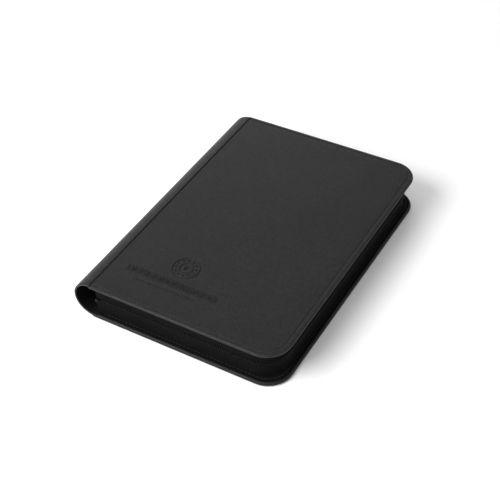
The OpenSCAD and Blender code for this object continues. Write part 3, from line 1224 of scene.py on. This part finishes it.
# %% Cast the slider
def cast_slider():
    """Two shield plates with lips along their edges, a wedge at the nose and the bridge."""
    bm = bmesh.new()
    x0, x1 = slider_low.x, slider_high.x
    for side in (-1, 1):
        near = plate_y + side * plate_gap
        far = near + side * plate_t
        plate_from_outline(bm, slider_outline(x0, x1, plate_half), min(near, far),
                           max(near, far), 0.28 * MM)
        for lip in (-1, 1):
            z = mid_z + lip * (plate_half - lip_inset)
            z0, z1 = sorted((z, z - lip * lip_t))
            y0, y1 = sorted((plate_y + side * lip_from_middle, near + side * sink))
            rounded_block(bm, (x0 + wedge_x1, y0, z0), (x1 - tail_room, y1, z1), 0.2 * MM)
    rounded_block(bm, (x0 + wedge_x0, plate_y - plate_gap - sink, mid_z - wedge_half),
                  (x0 + wedge_x1, plate_y + plate_gap + sink, mid_z + wedge_half), 0.3 * MM)
    add_bridge(bm, (x0 + x1) / 2, plate_y + plate_gap + plate_t - 0.1 * MM, slider_high.y)
    return from_bmesh("slider_casting", bm, black_enamel)


slider = cast_slider()
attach(slider, "slider")
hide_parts("zip_slider")

# %% Cast the pull
pull_low, pull_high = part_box("zip_pull")
pull_y = (pull_low.y + pull_high.y) / 2
pull_x = pull_low.x + 0.6 * MM


pull_half, pull_t = 3.4 * MM, 0.6 * MM
arm_x0, arm_x1 = -0.6 * MM, 5.0 * MM
arm_z0, arm_z1 = 1.3 * MM, 2.5 * MM
pin_half_w = 2.0 * MM
grip_ridges = 6
grip_start, grip_pitch = 9.5 * MM, 2.0 * MM
ridge_w, ridge_half_l, ridge_height = 0.8 * MM, 2.2 * MM, 0.22 * MM


def cast_pull():
    """A round-ended tab with grip ridges, and two arms joined by a pin under the bridge."""
    bm = bmesh.new()
    shoulder = [(pull_x + 5.6 * MM, pull_half), (pull_x + 4.2 * MM, arm_z1)]
    outline = (arc_points(pull_high.x - pull_half, mid_z, pull_half, -90, 90, 15)
               + [(x, mid_z + z) for x, z in shoulder]
               + [(x, mid_z - z) for x, z in reversed(shoulder)])
    plate_from_outline(bm, outline, pull_y - pull_t, pull_y + pull_t, 0.3 * MM)
    for side in (-1, 1):
        z0, z1 = sorted((mid_z + side * arm_z0, mid_z + side * arm_z1))
        rounded_block(bm, (pull_x + arm_x0, pull_y - pull_t, z0),
                      (pull_x + arm_x1, pull_y + pull_t, z1), 0.3 * MM)
    rounded_block(bm, (pull_x + arm_x0, pull_y - pull_t, mid_z - pin_half_w),
                  (pull_x - arm_x0, pull_y + pull_t, mid_z + pin_half_w), 0.35 * MM)
    for k in range(grip_ridges):
        x = pull_x + grip_start + k * grip_pitch
        for face in (-1, 1):
            y0, y1 = sorted((pull_y + face * (pull_t - 0.1 * MM),
                             pull_y + face * (pull_t + ridge_height)))
            rounded_block(bm, (x, y0, mid_z - ridge_half_l),
                          (x + ridge_w, y1, mid_z + ridge_half_l), 0.14 * MM, segments=2)
    return from_bmesh("pull_casting", bm, black_enamel)


pull = cast_pull()
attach(pull, "pull")
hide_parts("zip_pull")

# %% Crimp the stops
crimp_gap = 0.1 * MM
for node, body in (("zip_bottom_stop", "back_cover"), ("back_top_stop", "back_cover"),
                   ("front_top_stop", "front_cover")):
    low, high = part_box(node)
    bm = bmesh.new()
    half = (high.x - low.x) / 2
    for x0 in (low.x, low.x + half):
        rounded_block(bm, (x0 + crimp_gap / 2, low.y, low.z),
                      (x0 + half - crimp_gap / 2, high.y, high.z), 0.35 * MM)
    stop = from_bmesh(f"{node}_crimp", bm, black_enamel)
    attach(stop, body)
    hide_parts(node)


# %% [markdown]
# ## The pages
# A side-loading page is a black sheet with clear film welded on both faces: four pockets
# a side. Each opens towards the spine, so that nothing slips out, and a half-round notch
# in the film lets a thumb in. The welds press narrow dull valleys, and between them the
# film stands a little proud. The pockets could be separate sheets, but the film is thinner
# than a hair: one grid makes both faces, with its lines closer together at the welds and
# the notches, and each page is that grid at its own height.

# %% Page sizes
PAGES = 20
page_low, page_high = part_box("page_01")
page_w, page_l = page_high.x - page_low.x, page_high.y - page_low.y
binding_w = 9 * MM
weld_w = 2.2 * MM
head_w = 2 * MM
notch_r = 8.5 * MM
sheet_half_t, film_loft, rim_half_t = 0.1 * MM, 0.13 * MM, 0.04 * MM
page_bow = 0.1 * MM
pocket_w = (page_w - binding_w - 3 * weld_w) / 2
pocket_l = (page_l - 3 * weld_w - 2 * head_w) / 2
weld_x = [binding_w + weld_w / 2 + k * (pocket_w + weld_w) for k in range(3)]
weld_y = [head_w + weld_w / 2 + k * (pocket_l + weld_w) for k in range(3)]
notch_x = [line + weld_w / 2 for line in weld_x[:2]]
notch_y = [(low + high) / 2 for low, high in zip(weld_y, weld_y[1:])]


# %% Page maker
def grid_lines(length, coarse, welds, notches):
    """Coarse grid lines, with finer ones at the welds and over the notches."""
    values = set(even(0, length, coarse))
    for line in welds:
        values |= {line + k * weld_w / 4 for k in range(-3, 4)}
    for start, stop in notches:
        values |= set(even(start, stop, 0.9 * MM))
    kept = []
    for value in sorted(values):
        if 0 <= value <= length and (not kept or value - kept[-1] > 0.3 * MM):
            kept.append(value)
    kept[-1] = length
    return np.array(kept)


def film_rise(x, y):
    """How far the clear film stands over the black sheet, from 0 to 1."""
    from_weld = np.min([np.abs(x - line) for line in weld_x]
                       + [np.abs(y - line) for line in weld_y], axis=0)
    inside = ((x > weld_x[0]) & (x < weld_x[-1]) & (y > weld_y[0]) & (y < weld_y[-1]))
    rise = 0.35 * smoothstep(from_weld / weld_w - 0.3)
    rise += 0.65 * smoothstep(from_weld / (14 * MM))
    for cx in notch_x:
        for cy in notch_y:
            rise *= smoothstep((np.hypot(x - cx, y - cy) - notch_r) / (0.9 * MM) + 0.5)
    return np.where(inside, rise, 0)


def page_mesh():
    """Points and faces of one page, and a 1 for every face that is a weld or a border."""
    xs = grid_lines(page_w, 9 * MM, weld_x, [(x, x + 10 * MM) for x in notch_x])
    ys = grid_lines(page_l, 10 * MM, weld_y, [(y - 10 * MM, y + 10 * MM) for y in notch_y])
    gx, gy = np.meshgrid(xs, ys, indexing="ij")
    half = sheet_half_t + film_loft * film_rise(gx, gy)
    at_rim = (gx == 0) | (gx == page_w) | (gy == 0) | (gy == page_l)
    half = np.where(at_rim, rim_half_t, half)
    bow = page_bow * np.sin(gx / page_w * math.pi) * np.sin(gy / page_l * 2.3 * math.pi)
    x, y = gx.ravel(), gy.ravel() - page_l / 2
    points = np.concatenate([np.column_stack([x, y, (bow + side * half).ravel()])
                             for side in (1, -1)])
    n, m = len(xs), len(ys)
    faces = grid_faces(n, m)
    faces += [tuple(reversed(f)) for f in grid_faces(n, m, offset=n * m)]
    rim = ([i * m for i in range(n)] + [(n - 1) * m + j for j in range(1, m)]
           + [i * m + m - 1 for i in range(n - 2, -1, -1)] + list(range(m - 2, 0, -1)))
    faces += [(a, b, b + n * m, a + n * m) for a, b in zip(rim, rim[1:] + rim[:1])]
    middles = np.array([points[list(f)].mean(axis=0) for f in faces])
    mx, my = middles[:, 0], middles[:, 1] + page_l / 2
    on_weld = np.any([np.abs(mx - line) < weld_w * 0.45 for line in weld_x]
                     + [np.abs(my - line) < weld_w * 0.45 for line in weld_y], axis=0)
    border = ((mx < weld_x[0]) | (mx > weld_x[-1]) | (my < weld_y[0]) | (my > weld_y[-1]))
    return points, faces, (on_weld | border).astype(int)


# %% Make the pages
page_points, page_faces, page_finish = page_mesh()
for number in range(1, PAGES + 1):
    name = f"page_{number:02d}"
    low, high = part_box(name)
    corner = np.array([low.x, 0, (low.z + high.z) / 2])
    sheet = make_piece(f"{name}_pockets", page_points + corner, page_faces, page_film,
                       weld=0, outward=True)
    sheet.data.materials.append(page_welds)
    sheet.data.polygons.foreach_set("material_index", page_finish)
    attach(sheet, name)
    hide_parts(name)
print("pages of", round(page_w / MM), "x", round(page_l / MM), "mm, pockets",
      round(pocket_w / MM, 1), "x", round(pocket_l / MM, 1))

# %% [markdown]
# ## The binding strip
# The pages are welded to a flat strip that stands on a rib in the middle of the spine. It
# is a simple moulding, and two round-edged blocks of the CAD size give both parts of it.

# %% Mould the strip
strip_low, strip_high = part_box("page_binding_strip")


def mould_strip():
    """A flat plate across the page roots, on a rib that reaches the spine."""
    bm = bmesh.new()
    plate, rib_half = 1.0 * MM, 0.8 * MM
    rounded_block(bm, (strip_high.x - plate, strip_low.y, strip_low.z),
                  (strip_high.x, strip_high.y, strip_high.z), 0.3 * MM)
    rounded_block(bm, (strip_low.x, strip_low.y, mid_z - rib_half),
                  (strip_high.x - plate / 2, strip_high.y, mid_z + rib_half), 0.25 * MM)
    return from_bmesh("binding_strip_moulding", bm, binding_plastic)


strip = mould_strip()
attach(strip, "spine_3")
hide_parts("page_binding_strip")

# %% [markdown]
# ## Floor and light
# Black leather shows only by what it reflects, so small hard lamps would leave it a hole.
# A pale floor, an even white surround and three soft panels light it instead: one behind
# on the left for the back of the cover and the spine, one in front on the left for the
# rims, and a weak one overhead.

# %% Floor
floor_half = 4.0
floor_mesh = bpy.data.meshes.new("floor")
floor_mesh.from_pydata([(x * floor_half, y * floor_half, 0)
                        for x, y in ((-1, -1), (1, -1), (1, 1), (-1, 1))], [], [(0, 1, 2, 3)])
floor = bpy.data.objects.new("floor", floor_mesh)
floor.location.z = -0.5 * MM
bpy.context.scene.collection.objects.link(floor)
pale = bpy.data.materials.new("pale_floor")
pale.use_nodes = True
pale_shader = pale.node_tree.nodes["Principled BSDF"]
pale_shader.inputs["Base Color"].default_value = (0.92, 0.92, 0.92, 1)
pale_shader.inputs["Roughness"].default_value = 0.8
floor_mesh.materials.append(pale)
print("floor", 2 * floor_half, "m wide,", round(-floor.location.z / MM, 1), "mm down")


# %% Lights
def panel(name, place, target, size, watts):
    data = bpy.data.lights.new(name, "AREA")
    data.shape = "RECTANGLE"
    data.size, data.size_y = size
    data.energy = watts
    lamp = bpy.data.objects.new(name, data)
    lamp.location = place
    lamp.rotation_euler = (Vector(target) - Vector(place)).to_track_quat("-Z", "Y").to_euler()
    bpy.context.scene.collection.objects.link(lamp)
    print(name, watts, "W")


panel("back_panel", (-1.1, 1.2, 0.75), (0, 0, 0), (1.2, 0.8), 5)
panel("left_panel", (-0.5, -0.8, 0.8), (0, -0.05, 0), (0.9, 0.7), 20)
panel("top_panel", (0.2, 0.0, 1.7), (0, 0, 0), (1.6, 1.6), 3)
world = bpy.data.worlds.new("studio")
world.use_nodes = True
world.node_tree.nodes["Background"].inputs["Color"].default_value = (1, 1, 1, 1)
world.node_tree.nodes["Background"].inputs["Strength"].default_value = 0.55
bpy.context.scene.world = world
bpy.context.scene.view_settings.view_transform = "Standard"
